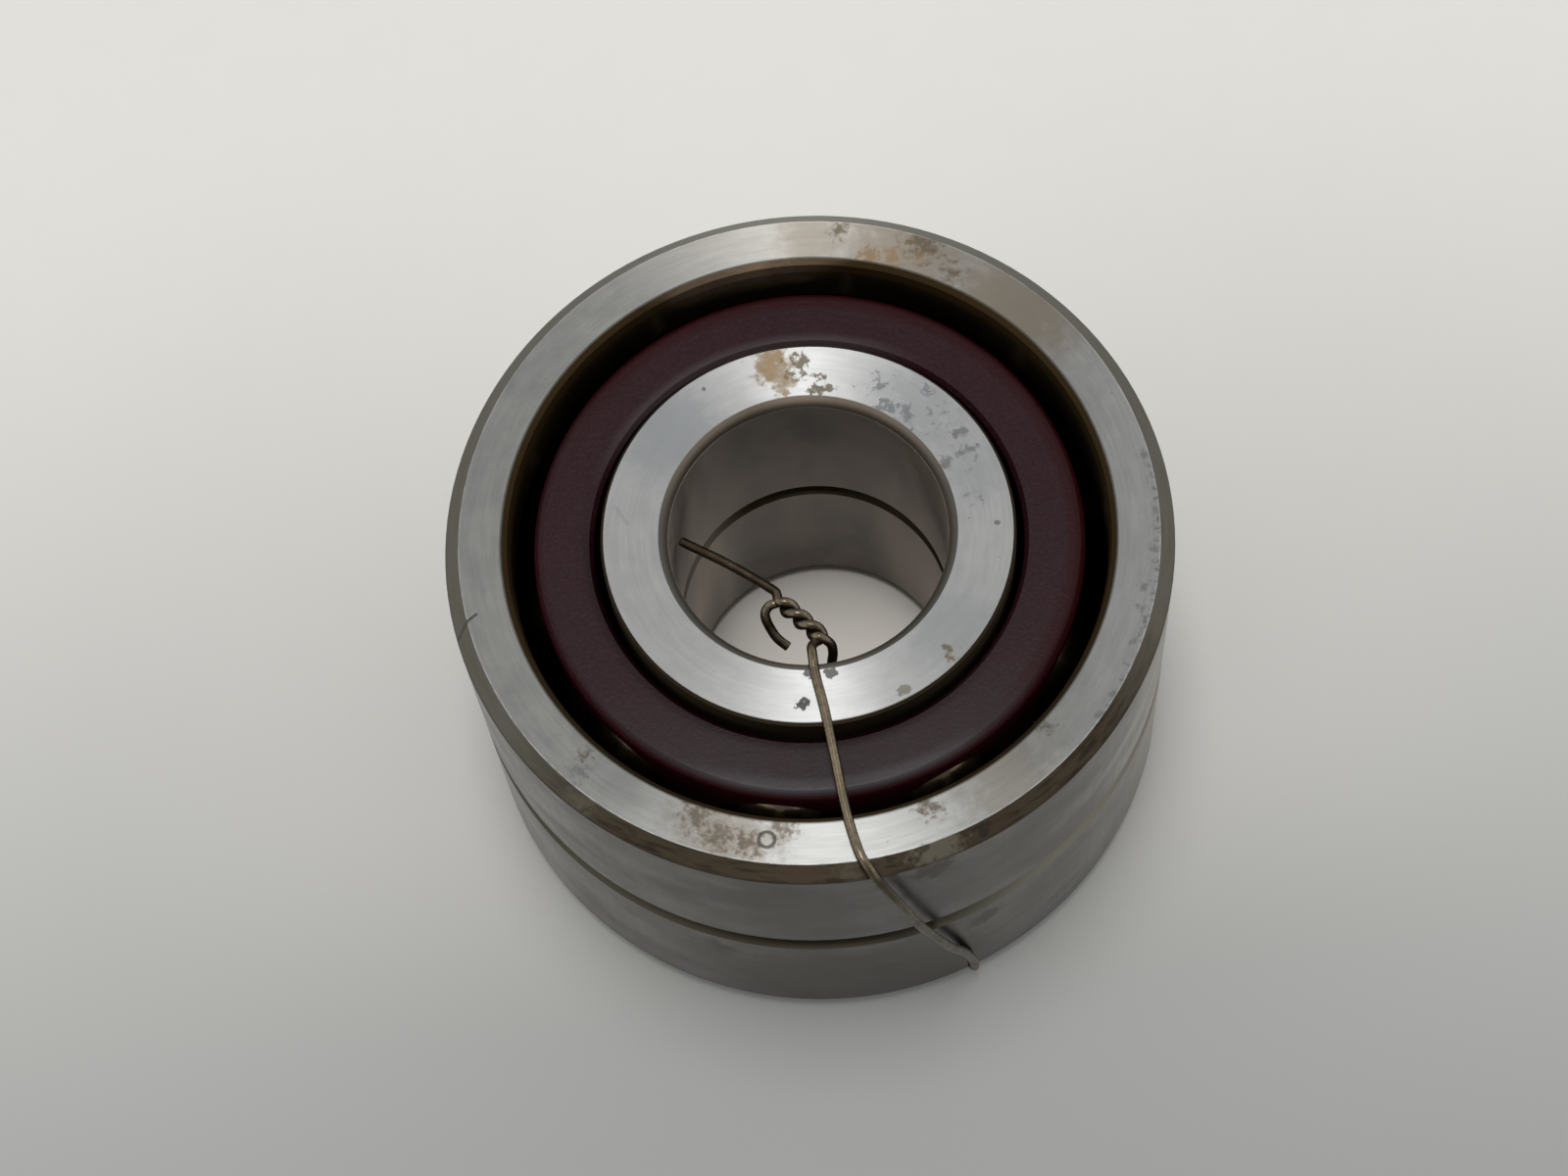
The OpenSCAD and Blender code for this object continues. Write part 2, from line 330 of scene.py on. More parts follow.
# outer rings, in mm: a row of stains is radius, degrees, height, reach, noise, raggedness, edge and weight;
# a side is as in lean, a skin is two distances from the wall's radius between which its colour fades, and
# other pairs are where a change starts and ends; "amount" is how strongly each effect shows, and "soft" how
# blurred the rims of each kind of stain are
outerRing = {
    "face": (0.345, 0.345, 0.328, 1), "faceBackHighlight": (0.375, 0.355, 0.32, 1), "faceFrontHighlight": (0.4, 0.4, 0.385, 1),
    "wall": (0.175, 0.164, 0.152, 1), "wallRightLight": (0.31, 0.285, 0.25, 1), "dull": grey(0.155),
    "faceRightLight": grey(0.37), "smear": (0.115, 0.098, 0.088, 1), "smudge": (0.085, 0.062, 0.052, 1),
    "chamfer": (0.108, 0.100, 0.078, 1), "chamferBackLight": (0.132, 0.128, 0.106, 1),
    "scuff": (0.13, 0.115, 0.088, 1), "grimy": (0.029, 0.024, 0.017, 1), "streak": (0.058, 0.045, 0.030, 1),
    "redBrown": (0.060, 0.041, 0.029, 1), "film": (0.225, 0.19, 0.145, 1), "brown": (0.15, 0.108, 0.062, 1),
    "tide": (0.085, 0.062, 0.037, 1), "rust": (0.25, 0.165, 0.088, 1), "blot": (0.105, 0.098, 0.098, 1),
    "seam": (0.042, 0.034, 0.022, 1), "seamEdge": (0.085, 0.073, 0.054, 1),
    "seamLeft": (0.085, 0.078, 0.057, 1), "seamRight": (0.20, 0.185, 0.155, 1),
    "lip": (0.023, 0.0135, 0.0035, 1), "lipReflection": (0.165, 0.120, 0.080, 1), "oil": (0.018, 0.013, 0.007, 1),
    "dirt": (0.03, 0.026, 0.022, 1), "wearAndHighlight": grey(0.6), "faceRough": 0.465, "wallRough": 0.13,
    "chamferRough": 0.42, "smearRough": 0.34, "oilRough": 0.34, "stainRough": 0.6, "turned": 1.0,
    "turnedLines": {"lines": 4.5, "length": 7.0}, "wallSkin": (0.015, 0.006),
    "faceEdge": 24.9, "faceEdgeWidth": 0.09, "lipEdge": 21.91, "lipEdgeWidth": 0.13,
    "chamferFoot": 1.1, "footWidth": 0.25,
    "grooveRadius": (22.6, 22.8), "seamDepth": (13.0, 13.6), "seamDark": (14.0, 14.5),
    "lipDepth": (1.1, 2.6), "lipRagged": 0.8, "lipReach": 1.4, "nibbleRadius": (24.0, 24.8),
    "front": (12.0, -23.0), "ahead": (-17.5, -21.5), "behind": (19.0, 24.0), "chamferBehind": (6.0, 22.0),
    "rightSide": (1, -0.1, 18.0, 24.0), "grimySide": (0.1, -0.995, 9.0, 20.0),
    "seamLeftSide": (-0.92, -0.39, 21.5, 24.8), "seamRightSide": (0.9, -0.43, 12.0, 24.0),
    "nibbledSide": (0.96, -0.28, 21.5, 24.0), "litSide": (-0.12, 0.993, 20.2, 21.2),
    "scribes": [
        ((24.2, 188.9, 30), (24.92, 189.7, 30), 0.17), ((24.9, 189.7, 30), (26.0, 191.6, 28.9), 0.2)],
    "ringMark": ((23.25, 257.5, 30), 0.55, 0.14),
    "cloud": {"scale": 0.35, "cover": 0.5, "soft": 0.2},
    "smears": {"scale": 0.12, "cover": 0.6, "soft": 0.2, "stretch": (1, 1, 2.2)},
    "streaks": {"scale": 1.0, "cover": 0.6, "soft": 0.12, "stretch": (2.6, 9, 9)},
    "lipStreaks": {"scale": 0.8, "cover": 0.5, "soft": 0.25, "stretch": (1.4, 6, 6)},
    "nibbleNoise": (0.48, 0.62), "speckNoise": (0.69, 0.73), "highlightNoise": (0.36, 0.56),
    "amount": {
        "turnedCloud": 0.35, "cloud": 0.42, "right": 0.6, "behind": 0.6, "faceLines": 0.24,
        "wallLines": 0.1, "smear": 0.4, "streak": 0.2, "foot": 0.6, "stain": 0.65, "tide": 0.8,
        "tideGain": 5.0, "nibble": 0.65, "speck": 0.6, "pit": 0.75, "lipLine": 0.7, "lipShade": 0.08,
        "lipStreak": 0.35, "highlightFront": 0.55, "wornBack": 0.3, "scribe": 0.85, "ringMark": 0.8,
        "stainWear": 0.6, "filmWear": 0.4, "oxide": 0.3, "markMetal": 0.3},
    "relief": {"face": 0.14, "wall": 0.02, "pit": -0.25, "mark": -0.8},
    "soft": {"films": 0.3, "stains": 0.42, "rusts": 0.2, "blots": 0.3, "nicks": 0.08, "scuffs": 0.3,
             "reds": 0.3, "smudges": 0.25},
    "films": [
        (23.6, 66, 30, 8.5, "Broad", 0.9, 0.45, 0.7), (23.4, 84, 30, 4.5, "Broad", 0.9, 0.5, 0.55),
        (23.4, 44, 30, 8.0, "Broad", 0.9, 0.4, 0.8),
        (23.4, 250, 30, 7.0, "Broad", 1.4, 0.5, 0.5), (23.2, 300, 30, 7.0, "Broad", 1.1, 0.55, 0.45),
        (23.2, 128, 0, 9.0, "Broad", 1.0, 0.5, 0.5), (23.2, 310, 0, 7.0, "Broad", 1.0, 0.5, 0.45)],
    "stains": [
        (24.4, 64, 30, 3.0, "Small", 2.2, 0.7, 0.8), (24.2, 79, 30, 1.6, "Small", 2.0, 0.72, 0.7),
        (22.9, 57, 30, 2.8, "Small", 2.4, 0.85, 0.6), (22.6, 245, 30, 2.6, "Small", 2.2, 0.68, 0.6),
        (23.6, 249.5, 30, 2.6, "Small", 2.4, 0.66, 0.6), (23.7, 254.5, 30, 2.4, "Small", 2.4, 0.7, 0.65),
        (22.4, 260, 30, 2.0, "Small", 2.2, 0.7, 0.6), (22.5, 286, 30, 2.0, "Small", 2.2, 0.78, 0.8),
        (22.4, 312, 30, 2.0, "Small", 2.2, 0.9, 0.6), (22.7, 222, 30, 2.2, "Small", 2.4, 0.92, 0.6),
        (23.6, 124, 0, 3.6, "Broad", 2.0, 0.7, 0.7), (22.8, 306, 0, 3.0, "Small", 2.0, 0.7, 0.7),
        (23.4, 20, 0, 3.0, "Small", 2.2, 0.75, 0.6)],
    "rusts": [
        (22.4, 73, 30, 1.8, "Small", 1.6, 0.6, 0.75), (22.7, 68.5, 30, 1.8, "Small", 1.6, 0.62, 0.65),
        (23.2, 64, 30, 1.2, "Small", 1.8, 0.62, 0.4)],
    "blots": [
        (24.6, 7, 30, 0.9, "Small", 2.0, 0.6, 0.45), (24.7, 357, 30, 0.8, "Small", 2.0, 0.6, 0.4),
        (24.5, 350, 30, 0.7, "Small", 2.0, 0.6, 0.4), (24.0, 343, 30, 0.7, "Small", 2.0, 0.6, 0.5),
        (24.2, 339, 30, 0.6, "Small", 2.0, 0.6, 0.45), (24.4, 333, 30, 0.7, "Small", 2.0, 0.6, 0.4),
        (24.8, 319, 30, 0.7, "Small", 2.0, 0.6, 0.4), (24.0, 223, 30, 2.0, "Small", 2.0, 0.8, 0.5)],
    "nicks": [
        (25.2, 277.3, 29.8, 0.7, "Small", 1.4, 0.5, 0.9), (25.1, 283.0, 29.9, 0.7, "Small", 1.4, 0.5, 0.8),
        (25.5, 292.5, 29.4, 0.8, "Small", 1.4, 0.5, 1.0), (25.3, 236.0, 29.6, 0.7, "Small", 1.6, 0.5, 0.5)],
    "scuffs": [
        (25.45, 285, 29.5, 3.0, "Small", 1.8, 0.5, 1.0), (25.3, 271, 29.6, 1.4, "Small", 1.8, 0.5, 0.2),
        (25.5, 338, 29.4, 2.0, "Small", 1.8, 0.55, 0.5), (25.4, 226, 29.5, 2.0, "Small", 1.8, 0.55, 0.5)],
    "reds": [
        (25.5, 264, 29.4, 3.2, "Broad", 2.2, 0.55, 0.8), (25.5, 296, 29.4, 1.8, "Small", 1.8, 0.5, 0.6)],
    "smudges": [
        (26, 283, 27.5, 3.0, "Broad", 1.6, 0.5, 0.6), (26, 292, 11.5, 2.6, "Broad", 1.6, 0.5, 0.5),
        (26, 275, 8.0, 3.2, "Broad", 1.6, 0.5, 0.5), (26, 242, 22.0, 3.5, "Broad", 1.6, 0.55, 0.25),
        (26, 248, 11.5, 3.2, "Broad", 1.6, 0.55, 0.5), (26, 262, 2.5, 4.0, "Broad", 1.6, 0.5, 0.5),
        (26, 75, 20, 5.0, "Broad", 1.6, 0.5, 0.5), (26, 160, 8, 5.0, "Broad", 1.6, 0.5, 0.5),
        (26, 262, 24, 7.0, "Broad", 0.5, 0.3, 0.3), (26, 265, 6, 12.0, "Broad", 0.6, 0.35, 0.42),
        (26, 283, 5, 8.0, "Broad", 0.6, 0.35, 0.4)],
}


def makeOuterSteel():
    v, amount = outerRing, outerRing["amount"]
    material, tree, shader, at = newMaterial("outerRingSteel")
    radius, depth = at["Radius"], at["Depth"]
    grain = use(tree, turnedGrain, turn=at["Turn"], **v["turnedLines"])
    noises = use(tree, ragged, mm=at["Mm"])
    face = endFace(tree, at)
    skin = v["wallSkin"]
    wall = ease(tree, radius, outerRadius - skin[0], outerRadius - skin[1])
    inside = times(tree, ease(tree, radius, *v["grooveRadius"], 1.0, 0.0), rest(tree, face))
    chamfer = times(tree, rest(tree, face), rest(tree, most(tree, wall, inside)))
    seam = times(tree, chamfer, ease(tree, depth, *v["seamDepth"]))
    front = ease(tree, at["Back"], *v["front"])

    # plain steel, a little cloudy, with fine turned lines that are faint on the ground wall
    # painted light: the end face and the wall are lighter on the right; painted highlight: the end face is
    # lighter behind and in front
    right = lean(tree, at, v["rightSide"])
    colour = mixColour(tree, wall, v["face"], mixColour(tree, right, v["wall"], v["wallRightLight"]))
    cloud = mixValue(tree, amount["turnedCloud"], laySpots(tree, at["Mm"], v["cloud"]), grain["Cloud"])
    colour = mixColour(tree, times(tree, cloud, amount["cloud"]), colour, v["dull"])
    colour = mixColour(tree, times(tree, right, face, amount["right"]), colour, v["faceRightLight"])
    behind = times(tree, ease(tree, at["Back"], *v["behind"]), face, amount["behind"])
    colour = mixColour(tree, behind, colour, v["faceBackHighlight"])
    ahead = times(tree, ease(tree, at["Back"], *v["ahead"]), face)
    colour = mixColour(tree, ahead, colour, v["faceFrontHighlight"])
    lines = mixValue(tree, wall, amount["faceLines"], amount["wallLines"])
    colour = mixColour(tree, times(tree, grain["Grain"], lines), colour, v["dull"])
    rough = mixValue(tree, face, v["chamferRough"], v["faceRough"])
    rough = mixValue(tree, wall, rough, v["wallRough"])

    # soft brown smears and smudges down the wall
    smear = times(tree, laySpots(tree, at["Mm"], v["smears"]), wall, amount["smear"])
    smudge = times(tree, layPatches(tree, at, noises, v, "smudges"), wall)
    colour = mixColour(tree, smear, colour, v["smear"])
    colour = mixColour(tree, smudge, colour, v["smudge"])
    rough = mixValue(tree, most(tree, smear, smudge), rough, v["smearRough"])

    # the chamfer is duller and, as painted light, lighter behind; in front it is grimy with brown streaks
    # along the turn
    grimy = lean(tree, at, v["grimySide"])
    streaks = laySpots(tree, at["Turn"], v["streaks"])
    tone = mixColour(tree, ease(tree, at["Back"], *v["chamferBehind"]), v["chamfer"], v["chamferBackLight"])
    tone = mixColour(tree, times(tree, streaks, amount["streak"]), tone, v["dull"])
    dark = mixColour(tree, streaks, v["grimy"], v["streak"])
    tone = mixColour(tree, grimy, tone, dark)
    tone = mixColour(tree, layPatches(tree, at, noises, v, "reds"), tone, v["redBrown"])
    tone = mixColour(tree, layPatches(tree, at, noises, v, "scuffs"), tone, v["scuff"])
    colour = mixColour(tree, chamfer, colour, tone)
    foot = rimLine(tree, at, outerRadius, v["chamferFoot"], v["footWidth"])
    colour = mixColour(tree, times(tree, foot, front, amount["foot"]), colour, v["dirt"])

    # the chamfers at the seam are painted dark as shade in the groove between the two bearings, darkest
    # deepest, and paler on the left and the right as painted light
    seamTone = mixColour(tree, ease(tree, depth, *v["seamDark"]), v["seamEdge"], v["seam"])
    seamTone = mixColour(tree, lean(tree, at, v["seamLeftSide"]), seamTone, v["seamLeft"])
    seamTone = mixColour(tree, lean(tree, at, v["seamRightSide"]), seamTone, v["seamRight"])
    colour = mixColour(tree, seam, colour, seamTone)

    # old stains on the end faces: a wide thin film, brown marks in it and a little rust
    film = times(tree, layPatches(tree, at, noises, v, "films"), face)
    colour = mixColour(tree, film, colour, v["film"])
    stain = times(tree, layPatches(tree, at, noises, v, "stains"), face)
    colour = mixColour(tree, times(tree, stain, amount["stain"]), colour, v["brown"])
    tide = times(tree, stain, rest(tree, stain), stain, amount["tideGain"])  # most where the stain thins out
    colour = mixColour(tree, times(tree, tide, amount["tide"]), colour, v["tide"])
    rust = times(tree, layPatches(tree, at, noises, v, "rusts"), face)
    colour = mixColour(tree, rust, colour, v["rust"])

    # grey blots on the right, where the edge is nibbled as well, nicks in front and a few dark specks
    beside = lean(tree, at, v["nibbledSide"])
    nibble = ease(tree, noises["Small"], *v["nibbleNoise"])
    nibble = times(tree, nibble, ease(tree, radius, *v["nibbleRadius"]), beside)
    blot = most(tree, layPatches(tree, at, noises, v, "blots"), times(tree, nibble, amount["nibble"]))
    blot = times(tree, blot, face)
    colour = mixColour(tree, blot, colour, v["blot"])
    specks = times(tree, ease(tree, noises["Small"], *v["speckNoise"]), face, amount["speck"])
    pits = most(tree, specks, layPatches(tree, at, noises, v, "nicks"))
    colour = mixColour(tree, times(tree, pits, amount["pit"]), colour, v["dirt"])

    # the groove is painted near black, as oil and painted shade, and the brown lip above it has a streaky
    # painted reflection that is lighter and reaches deeper at the back
    lit = lean(tree, at, v["litSide"])
    deep = times(tree, noises["Broad"], v["lipRagged"])
    deep = calc(tree, "SUBTRACT", deep, times(tree, lit, v["lipReach"]))
    fade = ease(tree, calc(tree, "ADD", depth, deep), *v["lipDepth"], 1.0, 0.0)
    streaks = laySpots(tree, at["Turn"], v["lipStreaks"])
    light = mixValue(tree, lit, amount["lipShade"], mixValue(tree, streaks, amount["lipStreak"], 1.0))
    tone = mixColour(tree, light, v["lip"], v["lipReflection"])
    colour = mixColour(tree, inside, colour, mixColour(tree, fade, v["oil"], tone))
    rough = mixValue(tree, inside, rough, v["oilRough"])

    # a painted highlight along the corner of the end face, brighter in front, and a dark line of dirt along
    # the lip
    line = rimLine(tree, at, v["faceEdge"], 0.0, v["faceEdgeWidth"])
    line = times(tree, line, ease(tree, noises["Broad"], *v["highlightNoise"]))
    bright = mixValue(tree, front, amount["wornBack"], amount["highlightFront"])
    colour = mixColour(tree, times(tree, line, bright), colour, v["wearAndHighlight"])
    line = rimLine(tree, at, v["lipEdge"], 0.0, v["lipEdgeWidth"])
    colour = mixColour(tree, times(tree, line, amount["lipLine"]), colour, v["oil"])

    # a dark scribed line across the chamfer, and a small etched ring on the end face
    scribe = most(tree, *[scribedLine(tree, at, row) for row in v["scribes"]])
    ringMark = times(tree, etchedRing(tree, at, v["ringMark"]), face)
    marked = most(tree, times(tree, scribe, amount["scribe"]), times(tree, ringMark, amount["ringMark"]))
    colour = mixColour(tree, marked, colour, v["dirt"])

    # stained steel is rougher and less metallic
    wearAndHighlight = most(tree, times(tree, stain, amount["stainWear"]), rust)
    rough = mixValue(tree, most(tree, wearAndHighlight, times(tree, film, amount["filmWear"])), rough, v["stainRough"])
    metal = mixValue(tree, marked, rest(tree, times(tree, wearAndHighlight, amount["oxide"])), amount["markMetal"])
    height = v["relief"]
    hollow = calc(tree, "ADD", times(tree, pits, height["pit"]), times(tree, marked, height["mark"]))
    lines = times(tree, grain["Grain"], mixValue(tree, wall, height["face"], height["wall"]))
    relief = calc(tree, "ADD", lines, hollow)
    finish(tree, shader, colour, rough, metal, relief)
    layTurned(tree, shader, v["turned"])
    return material


# inner rings: rows, sides, skins and pairs as above
innerRing = {
    "face": (0.475, 0.48, 0.47, 1), "dull": grey(0.29), "hazeAndShade": (0.33, 0.345, 0.355, 1),
    "bore": (0.160, 0.147, 0.130, 1), "boreBackShade": (0.065, 0.062, 0.055, 1),
    "boreLeftLight": (0.42, 0.38, 0.325, 1), "boreRightLight": (0.34, 0.29, 0.25, 1),
    "boreWarm": (0.26, 0.205, 0.18, 1), "smear": (0.075, 0.078, 0.074, 1),
    "chamfer": (0.11, 0.104, 0.092, 1), "chamferDeep": (0.055, 0.048, 0.036, 1),
    "chamferBackLight": (0.172, 0.142, 0.113, 1), "deepBack": (0.034, 0.028, 0.02, 1),
    "seam": (0.036, 0.027, 0.016, 1), "seamLeft": (0.19, 0.165, 0.13, 1),
    "side": (0.03, 0.022, 0.014, 1), "tan": (0.275, 0.185, 0.088, 1), "olive": (0.14, 0.115, 0.07, 1),
    "ochre": (0.215, 0.135, 0.048, 1),
    "pitting": (0.17, 0.18, 0.19, 1), "dirt": (0.05, 0.045, 0.04, 1),
    "faceRough": 0.465, "chamferRough": 0.4, "boreRough": 0.26, "stainRough": 0.6, "turned": 1.0,
    "turnedLines": {"lines": 4.5, "length": 4.5}, "boreSkin": (0.004, 0.014), "sideRadius": (12.0, 12.2),
    "chamferDepth": (0.15, 0.6), "seamDepth": (13.4, 13.9),
    "boreBehind": (0.0, 9.0), "boreDepth": (12.0, 1.0), "chamferBehind": (1.0, 8.0),
    "leftSide": (-1, 0, 4.0, 9.0), "rightSide": (1, 0, 4.0, 9.0),
    "scratch": ((13.9, 166, 30), (12.9, 171, 30), 0.2),
    "cloud": {"scale": 0.5, "cover": 0.5, "soft": 0.2},
    "smears": {"scale": 0.28, "cover": 0.55, "soft": 0.22, "stretch": (1, 1, 0.2)},
    "warms": {"scale": 0.2, "cover": 0.55, "soft": 0.25}, "warmShift": (9, 5, 2),
    "mottleNoise": (0.36, 0.6), "speckNoise": (0.7, 0.75),
    "amount": {"turnedCloud": 0.5, "cloud": 0.3, "lines": 0.3, "mottle": 0.62, "scratch": 0.35, "smear": 0.5,
               "warm": 0.4, "speck": 0.5, "oxide": 0.35},
    "relief": {"face": 0.16, "rest": 0.02, "pit": -0.5},
    "soft": {"hazeAndShadePatches": 0.3, "tans": 0.16, "olives": 0.14, "pittings": 0.24, "pits": 0.08},
    "hazeAndShadePatches": [
        (12.8, 45, 30, 5.5, "Broad", 1.3, 0.5, 0.55), (12.8, 15, 30, 4.5, "Broad", 1.4, 0.55, 0.4),
        (12.8, 137, 30, 6.0, "Broad", 0.8, 0.45, 0.75), (12.8, 316, 30, 5.5, "Broad", 0.9, 0.5, 0.5)],
    "tans": [
        (13.4, 95.5, 30, 2.6, "Broad", 1.6, 0.46, 0.9), (12.3, 93.5, 30, 1.8, "Broad", 1.6, 0.5, 0.85),
        (11.4, 93.5, 30, 1.2, "Small", 1.6, 0.5, 0.8), (13.8, 310.5, 30, 1.1, "Small", 2.0, 0.62, 0.6),
        (13.0, 200, 0, 2.5, "Broad", 1.6, 0.6, 0.6), (12.5, 330, 0, 2.0, "Small", 1.7, 0.65, 0.5)],
    "olives": [
        (13.3, 87.5, 30, 2.2, "Small", 2.4, 0.72, 0.85), (12.2, 87.5, 30, 1.9, "Small", 2.4, 0.7, 0.8),
        (11.35, 81, 30, 1.7, "Small", 2.4, 0.7, 0.9), (11.4, 76.5, 30, 1.0, "Small", 2.2, 0.65, 0.8),
        (13.9, 293, 30, 1.0, "Small", 2.2, 0.62, 0.6), (13.6, 311, 30, 1.3, "Small", 2.4, 0.68, 0.7)],
    "pittings": [
        (12.6, 60.7, 30, 2.4, "Small", 2.8, 0.88, 0.6), (11.1, 54.4, 30, 1.8, "Small", 2.6, 0.8, 0.65),
        (11.3, 48.0, 30, 2.4, "Small", 2.8, 0.86, 0.6), (14.0, 46.5, 30, 1.6, "Small", 2.6, 0.85, 0.6),
        (12.8, 38, 30, 3.0, "Small", 2.8, 0.98, 0.5), (13.1, 28.4, 30, 2.2, "Small", 2.8, 0.84, 0.6),
        (12.7, 22.0, 30, 2.0, "Small", 2.8, 0.84, 0.6), (11.1, 21.0, 30, 1.8, "Small", 2.6, 0.82, 0.6),
        (12.2, 6, 30, 3.0, "Small", 3.0, 1.12, 0.4), (12.8, 60, 0, 6.0, "Small", 3.0, 1.0, 0.5)],
    "pits": [
        (13.2, 262.3, 30, 0.85, "Small", 1.8, 0.5, 0.9), (10.85, 264.5, 30, 0.75, "Small", 1.8, 0.5, 0.75),
        (11.0, 272.5, 30, 0.8, "Small", 1.8, 0.5, 0.75), (13.6, 118, 30, 0.32, "Small", 1.0, 0.5, 0.6),
        (13.4, 356, 30, 0.38, "Small", 1.0, 0.5, 0.6)],
}


def makeInnerSteel():
    v, amount = innerRing, innerRing["amount"]
    material, tree, shader, at = newMaterial("innerRingSteel")
    radius, depth = at["Radius"], at["Depth"]
    grain = use(tree, turnedGrain, turn=at["Turn"], **v["turnedLines"])
    noises = use(tree, ragged, mm=at["Mm"], fine=1.6)
    face = endFace(tree, at)
    skin = v["boreSkin"]
    bore = ease(tree, radius, boreRadius + skin[0], boreRadius + skin[1], 1.0, 0.0)
    side = times(tree, ease(tree, radius, *v["sideRadius"]), rest(tree, face))
    chamfer = times(tree, rest(tree, face), rest(tree, most(tree, bore, side)))
    seam = times(tree, chamfer, ease(tree, depth, *v["seamDepth"]))

    # brushed faces and a darker bore, with painted shade high on the back of the bore and painted light on
    # its left and right walls
    cloud = mixValue(tree, amount["turnedCloud"], laySpots(tree, at["Mm"], v["cloud"]), grain["Cloud"])
    colour = mixColour(tree, times(tree, cloud, amount["cloud"]), v["face"], v["dull"])
    colour = mixColour(tree, times(tree, grain["Grain"], amount["lines"]), colour, v["dull"])
    shade = times(tree, ease(tree, at["Back"], *v["boreBehind"]), ease(tree, depth, *v["boreDepth"]))
    left = lean(tree, at, v["leftSide"])
    tone = mixColour(tree, left, mixColour(tree, shade, v["bore"], v["boreBackShade"]), v["boreLeftLight"])
    tone = mixColour(tree, lean(tree, at, v["rightSide"]), tone, v["boreRightLight"])
    colour = mixColour(tree, bore, colour, tone)

    # the chamfers are darker lower down (painted shade) and lighter behind (painted light); the seam is
    # painted dark as shade, paler on the left as painted light
    lower = ease(tree, depth, *v["chamferDepth"])
    deep = mixColour(tree, lower, v["chamfer"], v["chamferDeep"])
    behind = ease(tree, at["Back"], *v["chamferBehind"])
    deep = mixColour(tree, behind, deep, mixColour(tree, lower, v["chamferBackLight"], v["deepBack"]))
    colour = mixColour(tree, chamfer, colour, deep)
    colour = mixColour(tree, seam, colour, mixColour(tree, left, v["seam"], v["seamLeft"]))
    # painted shade: the outside of the ring, down in the gap under the cage, is made dark
    colour = mixColour(tree, side, colour, v["side"])
    rough = mixValue(tree, face, v["chamferRough"], v["faceRough"])
    rough = mixValue(tree, bore, rough, v["boreRough"])

    # tan and olive stains at the back, grey pitting on the right, one dark pit in front, a faint scratch
    # greyer patches on the end face: partly haze, partly painted shade where the gleam should fall off
    hazeAndShade = times(tree, layPatches(tree, at, noises, v, "hazeAndShadePatches"), face)
    colour = mixColour(tree, hazeAndShade, colour, v["hazeAndShade"])
    mottle = ease(tree, noises["Small"], *v["mottleNoise"])
    patchy = mixValue(tree, mottle, amount["mottle"], 1.0)
    tan = times(tree, layPatches(tree, at, noises, v, "tans"), face, patchy)
    colour = mixColour(tree, tan, colour, mixColour(tree, mottle, v["ochre"], v["tan"]))
    olive = times(tree, layPatches(tree, at, noises, v, "olives"), face)
    colour = mixColour(tree, olive, colour, v["olive"])
    pitting = times(tree, layPatches(tree, at, noises, v, "pittings"), face, patchy)
    colour = mixColour(tree, pitting, colour, v["pitting"])
    pits = layPatches(tree, at, noises, v, "pits")
    colour = mixColour(tree, pits, colour, v["dirt"])
    scratch = scribedLine(tree, at, v["scratch"])
    colour = mixColour(tree, times(tree, scratch, amount["scratch"]), colour, v["dull"])

    # soft stains and a few dark specks down the bore
    smear = laySpots(tree, at["Mm"], v["smears"])
    colour = mixColour(tree, times(tree, smear, bore, amount["smear"]), colour, v["smear"])
    warm = laySpots(tree, vec(tree, "ADD", at["Mm"], v["warmShift"]), v["warms"])
    colour = mixColour(tree, times(tree, warm, bore, amount["warm"]), colour, v["boreWarm"])
    specks = times(tree, ease(tree, noises["Small"], *v["speckNoise"]), rest(tree, side))
    colour = mixColour(tree, times(tree, specks, amount["speck"]), colour, v["dirt"])

    wearAndHighlight = most(tree, tan, olive, pits)
    rough = mixValue(tree, most(tree, wearAndHighlight, pitting), rough, v["stainRough"])
    metal = rest(tree, times(tree, wearAndHighlight, amount["oxide"]))
    height = v["relief"]
    lines = times(tree, grain["Grain"], mixValue(tree, face, height["rest"], height["face"]))
    relief = calc(tree, "ADD", lines, times(tree, most(tree, pitting, pits), height["pit"]))
    finish(tree, shader, colour, rough, metal, relief)
    layTurned(tree, shader, v["turned"])
    return material


# cages: the outer and the inner edge are those of the flat; sides and pairs as above
cage = {
    "flat": (0.0150, 0.0034, 0.0050, 1), "thread": (0.024, 0.0075, 0.010, 1),
    "flatFrontSheen": (0.0205, 0.0155, 0.0165, 1), "rimHighlight": (0.046, 0.039, 0.041, 1),
    "edgeRed": (0.0155, 0.0003, 0.0012, 1), "edgeShade": (0.0075, 0.0003, 0.0012, 1),
    "edgeReflection": (0.038, 0.0265, 0.028, 1), "fleck": (0.045, 0.025, 0.028, 1),
    "side": (0.052, 0.0060, 0.0080, 1), "rough": (0.35, 0.42), "gloss": 0.12,
    "rim": 18.9, "rimWidth": 0.9, "recess": 1.15, "sideDepth": (1.2, 1.8), "sideRadius": (16.0, 17.0),
    "outerEdge": (18.0, 18.8), "innerEdge": (16.5, 15.7), "boreCorner": 0.35,
    "front": (-8.0, -18.5), "redBehind": (-15.5, -10.0), "highlightAhead": (-15.3, -18.8),
    "darkAhead": (6.0, -2.0), "redSide": (0.96, 0.29, -16.0, -6.0), "darkSide": (1, 0, 14.0, 6.0),
    "paleSide": (-0.26, 0.966, 9.0, 14.5),
    "weave": {"lines": 3.2, "length": 26.0}, "flecks": {"scale": 3.4, "cover": 0.42, "soft": 0.08},
    "threadAmount": 0.35, "fleckAmount": 0.12, "threadRelief": 0.6, "fleckRelief": 0.5,
}


